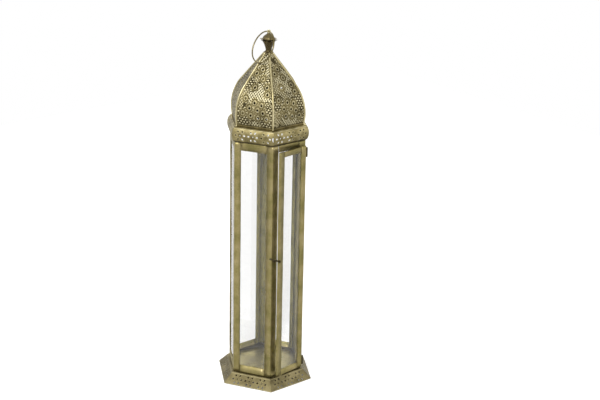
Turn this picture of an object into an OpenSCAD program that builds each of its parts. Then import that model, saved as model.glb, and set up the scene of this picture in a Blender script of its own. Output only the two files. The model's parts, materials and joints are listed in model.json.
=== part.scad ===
// Hexagonal table and hanging lantern in antiqued brass sheet, with glass sides and a hinged door.
// Millimetres, +Z up. The origin is on the ground, at the centre of the foot. The door faces -Y.

/* [Foot] */
// Corner radius of the flared foot where it stands
foot_r = 100; // [85:1:130]
// Height of the foot
foot_h = 20.5; // [16:0.5:35]
// Radius of the rolled bead along the foot's lower edge
foot_bead_r = 1.2; // [0.9:0.1:1.8]
// Width of the foot's top ledge that shows outside the body
foot_ledge = 3; // [1:0.5:6]
// Thickness of the floor tray's plate
tray_t = 1.5; // [1:0.1:3]
// Height of the floor tray's upturned lip
tray_lip_h = 5; // [3:0.5:10]

/* [Body] */
// Corner radius of the glazed body
body_r = 77.5; // [65:0.5:110]
// Height of the glazed body
body_h = 474; // [250:1:800]
// Thickness of the brass sheet
sheet = 0.8; // [0.6:0.1:1]
// Width of a corner post's face
post_face_w = 12; // [10:0.5:18]
// Distance from a post's corner to the web of its glass channel
post_web_u = 5; // [4:0.5:7]
// Width of the posts' faces beside the door
jamb_w = 14; // [10:0.5:16]
// Depth of the jambs' turned-in edge
jamb_return = 4; // [2:0.5:6]
// Height of the rails above and below the glass
rail_h = 15; // [10:0.5:22]
// Height of the rail's inner wall
rail_inner_h = 9; // [6:0.5:14]
// Height of the lintel over the door
lintel_h = 13; // [8:0.5:20]
// Height of the sill under the door
sill_h = 6; // [4:0.5:10]
// Thickness of the glass
glass_t = 2; // [1.5:0.1:3]

/* [Door] */
// Angle that the door stands open at rest
door_ajar = 7; // [0:1:60]
// Width of the door's stiles
stile_w = 12; // [9:0.5:16]
// Height of the door's top rail
door_top_h = 10; // [7:0.5:16]
// Height of the door's bottom rail
door_bottom_h = 12; // [7:0.5:18]
// How far the door covers the frame at its top and bottom
door_lap = 2; // [1:0.25:3]
// How far the door covers the jamb on the latch side
latch_lap = 8; // [3:0.5:9]
// Radius of the hinge pins
pin_r = 1.1; // [0.8:0.1:1.3]
// Outer radius of the hinge knuckles
knuckle_r = 2.2; // [1.9:0.1:2.4]
// Height of one hinge knuckle
knuckle_h = 6; // [5:0.5:14]
// Distance from the door's ends to the nearest end of a hinge
hinge_inset = 4; // [3:1:60]

/* [Latch] */
// Length of the latch lever from its pivot
lever_l = 31.5; // [24:0.5:45]
// Width of the lever
lever_w = 3.4; // [3:0.1:4]
// Thickness of the lever
lever_t = 1.2; // [0.8:0.1:1.6]
// Angle that the lever is raised at rest
lever_up = 26; // [10:1:80]
// Angle that the latched lever points down
lever_down = 10; // [6:1:14]

/* [Cornice] */
// Height of the cornice
cornice_h = 30; // [20:0.5:45]
// How far the cornice's bulge stands out past the body's faces
cornice_out = 5.6; // [3:0.1:10]
// Width of the cornice's lower flange inside the body
cornice_flange = 6; // [4:0.5:10]

/* [Dome] */
// Corner radius of the dome at its widest
dome_r = 75; // [60:0.5:100]
// Height from the dome's foot to its widest point
dome_belly_z = 21; // [8:0.5:40]
// Radius of the curve of the dome's corners
dome_curve_r = 85; // [70:1:110]
// Angle that the dome's corners lean in above the curve
dome_lean = 40.3; // [34:0.1:46]
// Corner radius of the dome where the collar sits on it
neck_r = 8; // [7:0.5:18]
// Width of the ribs along the dome's corners
rib_w = 3; // [2:0.2:5]
// How far the ribs stand out from the dome
rib_out = 1.4; // [0.8:0.1:2.5]
// Height of the plain band at the dome's foot
band_h = 4; // [2:0.5:8]
// How far the band stands out
band_out = 0.8; // [0.4:0.1:1.5]

/* [Finial] */
// Height of the collar
collar_h = 4; // [3:0.5:14]
// Radius of the finial's waist
waist_r = 5.4; // [4.5:0.1:8]
// Height of the cup
cup_h = 21; // [14:0.5:32]
// Radius of the cup's rim
cup_r = 15.4; // [11:0.2:22]
// Radius of the bud
bud_r = 12; // [9:0.2:18]
// Height of the bud
bud_h = 11; // [8:0.5:18]
// Radius of the finial's stem
stem_r = 2; // [1.6:0.1:3]
// Radius of the eye on the stem
eye_r = 3.6; // [3.2:0.1:6]
// Thickness of the eye
eye_t = 2.4; // [1.6:0.1:4]
// Radius of the hanging ring, to the middle of its wire
ring_r = 30.5; // [29:0.5:45]
// Radius of the ring's wire
ring_wire_r = 1.25; // [1:0.05:1.4]

/* [Piercing] */
// Distance between neighbouring rosettes
rosette_pitch = 25.8; // [22:0.2:32]
// Distance from a rosette's centre to its petals
petal_ring_r = 8.6; // [6:0.2:10]
// Radius of a petal hole
petal_r = 1.3; // [0.8:0.1:2]
// Radius of the rosette's centre hole
centre_r = 1; // [0.6:0.1:2]
// Radius of an eye hole in the dome
eye_hole_r = 1.4; // [0.8:0.1:2.2]

/* [Hidden] */
$fn = 48;
// Clearances: beside the glass, between moving parts, between a pin and its knuckle
glass_fit = 0.2;
running_gap = 0.4;
pin_fit = 0.08;
lever_gap = 0.3;
ring_gap = 0.3;
stem_fit = 0.05;

cos30 = cos(30);
tan30 = tan(30);
n_sides = 6;

// Body
body_a = body_r*cos30;                       // from the axis to a face
side = body_r;                               // a hexagon's side is its corner radius
channel_d = glass_t + 2*glass_fit + 2*sheet; // depth of every glass channel
tray_z = foot_h;
body_z = tray_z + tray_t;
body_top = body_z + body_h;
tray_recess = 1.6;                           // the tray's edge stays this far inside the body's faces
tray_lip_a = body_a - channel_d - 0.6;       // the lip stands just inside the glass channels
bay_w = side - 2*post_face_w;                // between the two posts of a glazed side
door_bay_w = side - 2*jamb_w;
glass_edge = post_web_u + sheet + 2*glass_fit;

// Foot
foot_a = foot_r*cos30;
ledge_a = body_a + foot_ledge*cos30;
foot_inner_a = body_a - 12;                  // the ledge runs in under the tray to here
foot_slope = atan2(foot_a - ledge_a, foot_h);
bead_z = 0.85*foot_bead_r;                   // the bead's centre, so that it stands on a narrow flat

// Door: the hinge axis is just outside the post's corner
hinge_out = 0.3;                             // the axis lies this far in front of the door's middle plane
hinge_past = 0.8;                            // and this far past the corner
hinge_x = body_a + running_gap + channel_d/2 + hinge_out;
hinge_y = side/2 + hinge_past;
door_back = body_a + running_gap;
door_front = door_back + channel_d;
door_y0 = -door_bay_w/2 - latch_lap;         // latch edge
door_y1 = hinge_y - knuckle_r - lever_gap;   // hinge edge
door_w = door_y1 - door_y0;
door_lap_top = door_lap + 1;                 // it covers a little more of the lintel
door_z0 = body_z + sill_h - door_lap;
door_z1 = body_top - lintel_h + door_lap_top;
door_h = door_z1 - door_z0;
hinge_zs = [door_z0 + hinge_inset, door_z1 - hinge_inset - 3*knuckle_h];
knuckle_bore = pin_r + pin_fit;
leaf_l = 9;                                  // how far a frame leaf reaches along the post's next face
leaf_edge = 1.6;                             // its edge lies this far from the corner
leaf_tongue = 2.4;                           // its tongues reach this far past the corner to the knuckles
pin_past = 0.8;                              // a pin stands this far past its knuckles
web_t = 2;                                   // thickness of the web from a door knuckle to its stile

// Latch: its pivot stands on the door's stile, and the keeper on the jamb
latch_above = 11;                            // the pivot lies this far above the body's middle
latch_z = body_z + body_h/2 + latch_above;
pivot_inset = 1.6;                           // from the door's latch edge
pivot_y = door_y0 + pivot_inset;
pivot_r = 1;
pivot_head_r = 2.1;
keeper_y = -side/2 + 2.4;
keeper_neck_r = 0.8;
keeper_head_r = 1.6;
keeper_reach = pivot_y - keeper_y;
notch_drop = 0.5;                            // the notch's centre lies this far under the lever's middle
keeper_z = latch_z - keeper_reach*tan(lever_down) - notch_drop/cos(lever_down);
keeper_fit = 0.25;                           // beside the keeper's neck in the lever's notch
lever_x0 = door_front + lever_gap;
lever_x1 = lever_x0 + lever_t;
head_t = 0.9;
finger_l = 6;                                // the lever's turned-out end
finger_turn = 18;

// Cornice: a sheet C that bulges out between two flanges
cornice_z0 = body_top;
cornice_z1 = cornice_z0 + cornice_h;
cornice_foot_a = body_a - tray_recess;
cornice_belly_a = body_a + cornice_out;
cornice_inner_a = cornice_foot_a - cornice_flange;
cornice_steps = 16;
mitre_gap = 0.1;
mitre_notch_l = 9;                           // the mitre beside the door's latch post has sprung open
mitre_notch_r = 3.2;
cornice_turn = 165;                          // the bulge turns through this angle from its lower edge
rosette_share = 0.52;                        // the rosettes' middles, as a share of the cornice's height
notch_share = 0.48;
ledge_under = 6;                             // the cornice's ledge runs this far in under the dome

// Dome
dome_z0 = cornice_z1;
belly_z = dome_z0 + dome_belly_z;
lean_z = belly_z + dome_curve_r*sin(dome_lean);
lean_r = dome_r - dome_curve_r*(1 - cos(dome_lean));
neck_z = lean_z + (lean_r - neck_r)/tan(dome_lean);
dome_steps = 20;
lean_share = 0.62;                           // where a corner's curve ends, from its foot (0) to the neck (1)
foot_angle = -asin(dome_belly_z/dome_curve_r);

// Finial
cup_z = neck_z + collar_h;
collar_foot = 1;                             // height of the collar's plain foot
bud_z = cup_z + cup_h;
bud_top = bud_z + bud_h;
bud_tip_r = stem_r + 0.6;
eye_z = bud_top + eye_r - 0.6;
stem_foot_z = neck_z - 8;
washer_t = 1.5;
washer_z = neck_z - 2;                       // top of the washer, which bears on the gores from inside
washer_r = cos30*(neck_r + 2*tan(dome_lean)) - sheet/cos(atan(cos30*tan(dome_lean))) - stem_fit;
eye_bore_r = ring_wire_r + 0.35;

// The ring leans on the rib of the corner at -X: its angle from straight down
rib_normal = [cos(dome_lean), sin(dome_lean)];
rib_line = rib_normal*[lean_r, lean_z];
ring_lean = dome_lean
    + asin((rib_line + rib_out + ring_wire_r + ring_gap - rib_normal[1]*eye_z)/(2*ring_r));

// ---- Placing ----

// Face k of the hexagon: local +X points out of it and local +Y runs along it. Face 0 holds the door.
module on_face(k) rotate([0, 0, 270 + 60*k]) children();

// The corner between face k and face k + 1: local +X points out through it
module on_corner(k) rotate([0, 0, 300 + 60*k]) children();

// Cuts a strip on a face to its 60 degree share, with its ends a distance back from the mitre planes
module mitred(back = 0, reach = 140, top = 800) {
    tip = back/sin(30);
    intersection() {
        children();
        linear_extrude(top) polygon([[tip, 0], [reach, (reach - tip)*tan30], [reach, -(reach - tip)*tan30]]);
    }
}

// Extrudes a section drawn in the face's (out, up) plane along the face
module along_face(length) rotate([90, 0, 0]) linear_extrude(length, center = true) children();

// The door at the angle where it rests
module door_pose() on_face(0) translate([hinge_x, hinge_y, 0]) rotate([0, 0, door_ajar])
    translate([-hinge_x, -hinge_y, 0]) children();

// ---- Piercing ----

// Six petal holes round a centre hole, drilled along X at the origin
module rosette_holes(depth) {
    rotate([0, 90, 0]) cylinder(r = centre_r, h = depth, center = true);
    for (a = [0:60:300]) translate([0, petal_ring_r*cos(a), petal_ring_r*sin(a)])
        rotate([0, 90, 0]) cylinder(r = petal_r, h = depth, center = true);
}

module rosette_row(depth) for (k = [-1:1]) translate([0, k*rosette_pitch, 0]) rosette_holes(depth);

// ---- Foot ----

module skirt_panel(k) color("#a3925c") on_face(k) difference() {
    mitred() along_face(2*foot_r) union() {
        polygon([
            [foot_inner_a, foot_h - sheet], [ledge_a - sheet*tan(foot_slope/2), foot_h - sheet],
            [foot_a - foot_bead_r - sheet/cos(foot_slope), foot_bead_r],
            [foot_a - foot_bead_r, foot_bead_r], [ledge_a, foot_h], [foot_inner_a, foot_h]
        ]);
        intersection() {
            translate([foot_a - foot_bead_r, bead_z]) circle(foot_bead_r);
            translate([foot_a - 4*foot_bead_r, 0]) square(4*foot_bead_r);
        }
    }
    translate([(foot_a + ledge_a)/2, 0, foot_h/2]) rotate([0, -foot_slope, 0]) rosette_row(8);
}

module hexagon(a) circle(r = a/cos30, $fn = n_sides);

module floor_tray() color("#8a8048") {
    translate([0, 0, tray_z]) linear_extrude(tray_t) hexagon(body_a - tray_recess);
    translate([0, 0, tray_z]) linear_extrude(tray_t + tray_lip_h) difference() {
        hexagon(tray_lip_a);
        hexagon(tray_lip_a - sheet);
    }
}

// ---- Body ----

// Half of a post's outline: u runs along the face from the corner, v into the body
function glass_flange() = [
    [0, 0], [post_face_w, 0], [post_face_w, sheet], [post_web_u + sheet, sheet],
    [post_web_u + sheet, channel_d - sheet], [post_face_w, channel_d - sheet],
    [post_face_w, channel_d], [post_web_u, channel_d], [post_web_u, sheet], [sheet*tan30, sheet]
];

function jamb_flange() = [
    [0, 0], [jamb_w, 0], [jamb_w, jamb_return], [jamb_w - sheet, jamb_return],
    [jamb_w - sheet, sheet], [sheet*tan30, sheet]
];

// Places (u, v) on the face to the right (+1) or the left (-1) of a corner that points along +X
function from_corner(p, hand) = [
    body_r - p[0]*sin(30) - p[1]*cos30, hand*(p[0]*cos30 - p[1]*sin(30))
];

function reversed(list) = [for (k = [len(list) - 1:-1:0]) list[k]];

module corner_post(k) color("#b3a26c") {
    ahead = k == 5 ? jamb_flange() : glass_flange();
    behind = k == 0 ? jamb_flange() : glass_flange();
    inner = [for (k = [1:len(behind) - 2]) behind[k]];
    on_corner(k) translate([0, 0, body_z]) linear_extrude(body_h) polygon(concat(
        [for (p = ahead) from_corner(p, 1)],
        [for (p = reversed(inner)) from_corner(p, -1)]
    ));
}

// A glass channel, open downwards: its outer wall flush with the body's face
module rail_section(height) polygon([
    [body_a, 0], [body_a, height], [body_a - channel_d, height],
    [body_a - channel_d, height - rail_inner_h], [body_a - channel_d + sheet, height - rail_inner_h],
    [body_a - channel_d + sheet, height - sheet], [body_a - sheet, height - sheet], [body_a - sheet, 0]
]);

module top_rail(k) color("#a89862") on_face(k) translate([0, 0, body_top - rail_h])
    along_face(bay_w) rail_section(rail_h);

module bottom_rail(k) color("#a89862") on_face(k) translate([0, 0, body_z + rail_h])
    mirror([0, 0, 1]) along_face(bay_w) rail_section(rail_h);

// An angle strip across the door bay, with its flange at the top
module jamb_strip(height) along_face(door_bay_w) polygon([
    [body_a, 0], [body_a, height], [body_a - jamb_return, height], [body_a - jamb_return, height - sheet],
    [body_a - sheet, height - sheet], [body_a - sheet, 0]
]);

module door_lintel() color("#8c7d50") on_face(0) translate([0, 0, body_top - lintel_h]) jamb_strip(lintel_h);

module door_sill() color("#8c7d50") on_face(0) translate([0, 0, body_z + sill_h]) mirror([0, 0, 1])
    jamb_strip(sill_h);

module glass_pane(k) color("#dfe8e4", 0.35) on_face(k) {
    width = side - 2*glass_edge;
    bottom = body_z + sheet + glass_fit;
    top = body_top - sheet - 2*glass_fit;
    translate([body_a - sheet - glass_fit - glass_t, -width/2, bottom]) cube([glass_t, width, top - bottom]);
}

// ---- Door ----

// A stile's plan: a glass channel that opens towards +Y
module stile_section() polygon([
    [0, 0], [channel_d, 0], [channel_d, stile_w], [channel_d - sheet, stile_w], [channel_d - sheet, sheet],
    [sheet, sheet], [sheet, stile_w], [0, stile_w]
]);

module door_latch_stile() color("#b3a26c") door_pose() translate([door_back, door_y0, door_z0])
    linear_extrude(door_h) stile_section();

module door_hinge_stile() color("#b3a26c") door_pose() translate([door_back, door_y1, door_z0])
    linear_extrude(door_h) mirror([0, 1]) stile_section();

// A door rail between the stiles: a glass channel that opens downwards
module door_rail(height) translate([0, door_y0 + door_w/2, 0]) along_face(door_w - 2*stile_w) polygon([
    [door_back, 0], [door_back, height], [door_front, height], [door_front, 0], [door_front - sheet, 0],
    [door_front - sheet, height - sheet], [door_back + sheet, height - sheet], [door_back + sheet, 0]
]);

module door_top_rail() color("#a89862") door_pose() translate([0, 0, door_z1 - door_top_h])
    door_rail(door_top_h);

module door_bottom_rail() color("#a89862") door_pose() translate([0, 0, door_z0 + door_bottom_h])
    mirror([0, 0, 1]) door_rail(door_bottom_h);

module door_glass() color("#dfe8e4", 0.35) door_pose() {
    edge = sheet + glass_fit;
    translate([door_back + sheet + glass_fit, door_y0 + edge + glass_fit, door_z0 + edge])
        cube([glass_t, door_w - 2*edge - 2*glass_fit, door_h - 2*edge - glass_fit]);
}

// A run of knuckle on the hinge axis
module knuckle(z, height) translate([hinge_x, hinge_y, z]) cylinder(r = knuckle_r, h = height);

module bore(z, height, r) translate([hinge_x, hinge_y, z]) cylinder(r = r, h = height);

// The door's middle knuckle of each hinge, joined to the stile's edge by a web
module door_knuckles() color("#94854f") door_pose() for (z = hinge_zs) {
    z0 = z + knuckle_h + running_gap/2;
    height = knuckle_h - running_gap;
    difference() {
        union() {
            knuckle(z0, height);
            translate([hinge_x - web_t/2, door_y1, z0]) cube([web_t, hinge_y - door_y1, height]);
        }
        bore(z0 - 1, height + 2, knuckle_bore);
    }
}

// Each frame leaf lies on the next face of the corner post and holds the outer two knuckles
module hinge_leaves() color("#94854f") for (z = hinge_zs) {
    height = 3*knuckle_h;
    difference() {
        union() {
            on_face(0) for (k = [0, 2]) knuckle(z + k*knuckle_h, knuckle_h);
            on_face(1) translate([body_a, -side/2 + leaf_edge, z]) cube([sheet, leaf_l - leaf_edge, height]);
            on_face(1) for (k = [0, 2]) translate([body_a, -side/2 - leaf_tongue, z + k*knuckle_h])
                cube([sheet, leaf_tongue + 2*leaf_edge, knuckle_h]);
        }
        on_face(0) bore(z - 1, height + 2, pin_r);
    }
}

module hinge_pins() color("#7d7046") on_face(0) for (z = hinge_zs)
    translate([hinge_x, hinge_y, z - pin_past]) cylinder(r = pin_r, h = 3*knuckle_h + 2*pin_past);

// ---- Latch ----

// A headed stud along +X
module stud(shank_r, shank_l, head_r) rotate([0, 90, 0]) {
    cylinder(r = shank_r, h = shank_l + head_t);
    translate([0, 0, shank_l]) cylinder(r = head_r, h = head_t);
}

module latch_pivot() color("#6e6340") door_pose() translate([door_front, pivot_y, latch_z])
    stud(pivot_r, lever_gap + lever_t + 0.2, pivot_head_r);

module latch_keeper() color("#6e6340") on_face(0) translate([body_a, keeper_y, keeper_z])
    stud(keeper_neck_r, lever_x1 + 0.4 - body_a, keeper_head_r);

// The lever's outline in its own plane: x runs out from the pivot along the lever
module lever_outline() difference() {
    union() {
        circle(r = lever_w*0.8);
        translate([0, -lever_w/2]) square([lever_l - finger_l + lever_t*tan(finger_turn/2), lever_w]);
    }
    circle(r = pivot_r + pin_fit);
    notch_r = keeper_neck_r + keeper_fit;
    translate([keeper_reach/cos(lever_down), -notch_drop]) {
        circle(r = notch_r);
        translate([-notch_r, -lever_w]) square([2*notch_r, lever_w]);
    }
}

module latch_lever() color("#5c5236") door_pose() translate([lever_x0, pivot_y, latch_z])
    rotate([-lever_up, 0, 0]) rotate([0, 0, 180]) rotate([90, 0, 90]) {
        translate([0, 0, -lever_t]) linear_extrude(lever_t) lever_outline();
        translate([lever_l - finger_l, -lever_w/2, -lever_t]) rotate([0, finger_turn, 0])
            cube([finger_l, lever_w, lever_t]);
    }

// ---- Cornice ----

// The outer line of the bulge, from its lower edge to its top, with the sheet's thickness taken off
function cornice_line(off) = [
    for (k = [0:cornice_steps]) let (
        a = -90 + cornice_turn*k/cornice_steps,
        low = cornice_foot_a,
        half_h = cornice_h/2
    ) [
        low + (cornice_belly_a - low)*cos(a) - off*cos(a),
        cornice_z0 + half_h + half_h*sin(a) - off*sin(a)
    ]
];

module cornice_section() {
    outer = cornice_line(0);
    inner = cornice_line(sheet);
    last = outer[cornice_steps];
    ledge_in = dome_r*cos30*cos(foot_angle) - ledge_under;
    polygon(concat(
        [[cornice_inner_a, cornice_z0]], outer, [[last[0] - 0.4, cornice_z1], [ledge_in, cornice_z1]],
        [[ledge_in, cornice_z1 - sheet], [inner[cornice_steps][0] - 0.6, cornice_z1 - sheet]],
        reversed(inner), [[cornice_inner_a, cornice_z0 + sheet]]
    ));
}

module cornice(k) color("#a8975f") on_face(k) difference() {
    mitred(mitre_gap/2) along_face(2*foot_r) cornice_section();
    translate([cornice_belly_a, 0, cornice_z0 + cornice_h*rosette_share]) rosette_row(12);
    if (k == 5) translate([cornice_belly_a, cornice_belly_a*tan30, cornice_z0 + cornice_h*notch_share])
        rotate([0, 90, 0]) cylinder(r = mitre_notch_r, h = mitre_notch_l, center = true);
}

// ---- Dome ----

// Corner radius and height along a dome corner, from the foot (0) to the neck (1)
function dome_corner(t) = let (a = foot_angle + (dome_lean - foot_angle)*min(1, t/lean_share))
    t <= lean_share
        ? [dome_r - dome_curve_r*(1 - cos(a)), belly_z + dome_curve_r*sin(a)]
        : [lean_r, lean_z] + [neck_r - lean_r, neck_z - lean_z]*(t - lean_share)/(1 - lean_share);

// The outward normal there, for a profile drawn at a share of the corner radius
function dome_normal(t, share) = let (
    a = foot_angle + (dome_lean - foot_angle)*min(1, t/lean_share),
    n = [cos(a), share*sin(a)]
) n/norm(n);

// The line of the dome, moved off along its normal: share 1 is a corner, cos30 a face's middle
function dome_line(share, off) = [
    for (k = [0:dome_steps]) let (t = k/dome_steps, p = dome_corner(t))
        [share*p[0], p[1]] + off*dome_normal(t, share)
];

// A band between two offsets of the dome's line, cut level at its foot and its neck
module dome_band(share, low, high) intersection() {
    polygon(concat(dome_line(share, high), reversed(dome_line(share, low))));
    translate([0, dome_z0]) square([2*dome_r, neck_z - dome_z0]);
}

// Places of the eye holes on a gore: across it, and above the dome's foot
eye_holes = [
    [7, 21], [23.5, 20.5], [-8, 24], [16, 31], [5, 35], [-11.5, 37.5], [12, 44.5],
    [-2, 48], [20.5, 64.5], [-6.5, 74], [17, 76], [-10, 97], [0, 104]
];

module dome_gore(k) color("#a08f5a") on_face(k) difference() {
    mitred(rib_w/2) union() {
        along_face(2*dome_r) dome_band(cos30, -sheet, 0);
        along_face(2*dome_r) intersection() {
            dome_band(cos30, -sheet/2, band_out);
            translate([0, dome_z0]) square([2*dome_r, band_h]);
        }
    }
    for (p = eye_holes) translate([dome_r, p[0], dome_z0 + p[1]])
        rotate([0, -90, 0]) cylinder(r = eye_hole_r, h = dome_r - 6);
}

module dome_ribs() color("#c2b27a") for (k = [0:n_sides - 1]) on_corner(k)
    along_face(rib_w) dome_band(1, -sheet*2, rib_out);

// ---- Finial ----

module drilled(height) difference() {
    children();
    translate([0, 0, neck_z - 1]) cylinder(r = stem_r + stem_fit, h = height + 2);
}

module neck_collar() color("#6f6443") drilled(collar_h) rotate_extrude() polygon(concat(
    [[0, neck_z], [neck_r + rib_out, neck_z]],
    [for (k = [0:8]) let (a = 90*k/8) [
        waist_r + (neck_r + rib_out - waist_r)*(1 - sin(a)),
        neck_z + collar_foot + (collar_h - collar_foot)*(1 - cos(a))
    ]],
    [[0, cup_z]]
));

module finial_cup() color("#7c7048") drilled(collar_h + cup_h) rotate_extrude() polygon([
    [0, cup_z], [waist_r, cup_z], [waist_r + 0.8, cup_z + cup_h*0.22], [waist_r + 3, cup_z + cup_h*0.5],
    [cup_r - 3.4, cup_z + cup_h*0.8], [cup_r, cup_z + cup_h*0.96], [cup_r - 0.8, bud_z], [0, bud_z]
]);

module finial_bud() color("#8d7f52") drilled(collar_h + cup_h + bud_h) rotate_extrude() polygon(concat(
    [[0, bud_z], [bud_r - 1, bud_z]],
    [for (k = [0:12]) [bud_tip_r + (bud_r - bud_tip_r)*(1 + cos(180*k/12))/2, bud_z + 1 + (bud_h - 1)*k/12]],
    [[0, bud_top]]
));

// The stem passes through the collar, the cup and the bud, and its washer lies under the dome's point
module finial_stem() color("#7d7046") difference() {
    union() {
        translate([0, 0, stem_foot_z]) cylinder(r = stem_r, h = eye_z - stem_foot_z);
        translate([0, 0, washer_z - washer_t]) cylinder(r = washer_r, h = washer_t);
        translate([0, 0, eye_z]) rotate([90, 0, 0]) cylinder(r = eye_r, h = eye_t, center = true);
    }
    translate([0, 0, eye_z]) rotate([90, 0, 0]) cylinder(r = eye_bore_r, h = eye_t + 2*stem_r, center = true);
}

module hanging_ring() color("#b0a069") translate([0, 0, eye_z]) rotate([0, ring_lean, 0])
    translate([0, 0, -ring_r]) rotate([0, 90, 0]) rotate_extrude() translate([ring_r, 0])
        circle(r = ring_wire_r);

// ---- Nodes ----

for (k = [0:5]) {
    skirt_panel(k);
    corner_post(k);
    cornice(k);
    dome_gore(k);
}
for (k = [1:5]) {
    top_rail(k);
    bottom_rail(k);
    glass_pane(k);
}
floor_tray();
door_lintel();
door_sill();
dome_ribs();
neck_collar();
finial_cup();
finial_bud();
finial_stem();
hinge_leaves();
hinge_pins();
latch_keeper();
door_hinge_stile();
door_latch_stile();
door_top_rail();
door_bottom_rail();
door_glass();
door_knuckles();
latch_pivot();
latch_lever();
hanging_ring();
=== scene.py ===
"""Looks of a tall hexagonal candle lantern in antiqued brass: pressed and pierced sheet on a folded
frame, glass sides, a chased onion dome with bright ribs, and a wire ring. Metres, +Z up."""
import json
import math

import bpy
import numpy as np
from mathutils import Matrix, Vector


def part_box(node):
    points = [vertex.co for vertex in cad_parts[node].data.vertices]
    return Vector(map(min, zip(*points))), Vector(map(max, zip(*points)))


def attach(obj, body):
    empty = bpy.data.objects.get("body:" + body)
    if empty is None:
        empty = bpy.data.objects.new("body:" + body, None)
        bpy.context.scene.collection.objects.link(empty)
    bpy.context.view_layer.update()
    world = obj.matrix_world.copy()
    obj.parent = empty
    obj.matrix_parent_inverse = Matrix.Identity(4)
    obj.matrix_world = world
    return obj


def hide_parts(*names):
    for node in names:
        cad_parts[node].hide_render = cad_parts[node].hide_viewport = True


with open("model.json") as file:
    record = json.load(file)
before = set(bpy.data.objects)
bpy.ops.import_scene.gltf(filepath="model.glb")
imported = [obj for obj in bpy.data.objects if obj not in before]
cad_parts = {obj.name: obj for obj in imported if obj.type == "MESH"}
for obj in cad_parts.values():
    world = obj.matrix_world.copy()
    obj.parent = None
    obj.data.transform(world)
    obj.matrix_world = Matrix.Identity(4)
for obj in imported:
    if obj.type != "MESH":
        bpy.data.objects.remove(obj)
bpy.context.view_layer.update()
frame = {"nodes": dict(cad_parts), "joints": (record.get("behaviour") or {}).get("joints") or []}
NODES = frame["nodes"]
JOINTS = {joint["name"]: joint for joint in frame["joints"]}

MM = 0.001
COS30 = math.cos(math.radians(30))
TAN30 = math.tan(math.radians(30))
SIDES = range(6)
SIDE_TURN = 60                                  # degrees from one side to the next
FACE_0_TURN = 270                               # face 0, the door's, looks along -Y
CORNER_0_TURN = 300                             # the corner between face 0 and face 1

# ---- Sizes, from the frame where a node's box gives them ----

SHEET = 0.8*MM                                  # thickness of the brass sheet
foot_low, foot_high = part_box("skirt_panel_1")
FOOT_A = -foot_low.y                            # apothem: from the axis to a face
FOOT_INNER_A = -foot_high.y
FOOT_H = foot_high.z
post_low, post_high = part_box("corner_post_2")
BODY_R = post_high.x                            # corner radius, which is also a side's length
BODY_A = BODY_R*COS30
BODY_Z0, BODY_Z1 = post_low.z, post_high.z
cornice_low, cornice_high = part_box("cornice_1")
CORNICE_A = -cornice_low.y
CORNICE_INNER_A = -cornice_high.y
CORNICE_Z0, CORNICE_Z1 = cornice_low.z, cornice_high.z
gore_low, gore_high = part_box("dome_gore_1")
DOME_Z0, NECK_Z = gore_low.z, gore_high.z
LEDGE_A = BODY_A + 2.6*MM                       # where the foot's slope meets its top ledge
CORNICE_FOOT_A = BODY_A - 1.6*MM                # where the cornice's bulge leaves its lower flange

POST_W = 12*MM                                  # a post's face beside the glass
JAMB_W = 14*MM                                  # a post's face beside the door
JAMB_RETURN = 4*MM
WEB_U = 5*MM                                    # from a post's corner to its glass channel's web
CHANNEL = 4*MM                                  # depth of a glass channel
RAIL_INNER_H = 9*MM
STILE_W = 12*MM

DOME_R = 75*MM                                  # the dome's corner radius at its belly
BELLY_H = 21*MM
DOME_CURVE = 85*MM
DOME_LEAN = math.radians(40.3)
NECK_R = 8*MM
RIB_W = 3*MM
RIB_OUT = 1.4*MM

ROSETTE_PITCH = 25.8*MM
ROSETTE_R = 8.6*MM

# ---- Meshes ----


def grid_quads(rows, columns, closed=False):
    """Quads of a grid of rows by columns points; closed also joins the last column to the first."""
    i, j = np.meshgrid(np.arange(rows - 1), np.arange(columns if closed else columns - 1), indexing="ij")
    after = (j + 1) % columns
    return np.stack([i*columns + j, i*columns + after, (i + 1)*columns + after, (i + 1)*columns + j],
                    -1).reshape(-1, 4)


def joined(shells):
    """One (points, quads) of several."""
    points, quads, start = [], [], 0
    for shell_points, shell_quads in shells:
        points.append(shell_points.reshape(-1, 3))
        quads.append(shell_quads + start)
        start += len(points[-1])
    return np.concatenate(points), np.concatenate(quads)


def turned(points, degrees):
    """Points turned about the lantern's axis."""
    a = math.radians(degrees)
    x, y = points[..., 0], points[..., 1]
    return np.stack([x*math.cos(a) - y*math.sin(a), x*math.sin(a) + y*math.cos(a), points[..., 2]], -1)


def on_face(points, k):
    """From a face's frame, where +X points out and +Y runs along it, to its place. Face 0 is the door's."""
    return turned(points, FACE_0_TURN + SIDE_TURN*k)


def on_corner(points, k):
    """From a corner's frame, where +X points out, to the corner between face k and face k + 1."""
    return turned(points, CORNER_0_TURN + SIDE_TURN*k)


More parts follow.
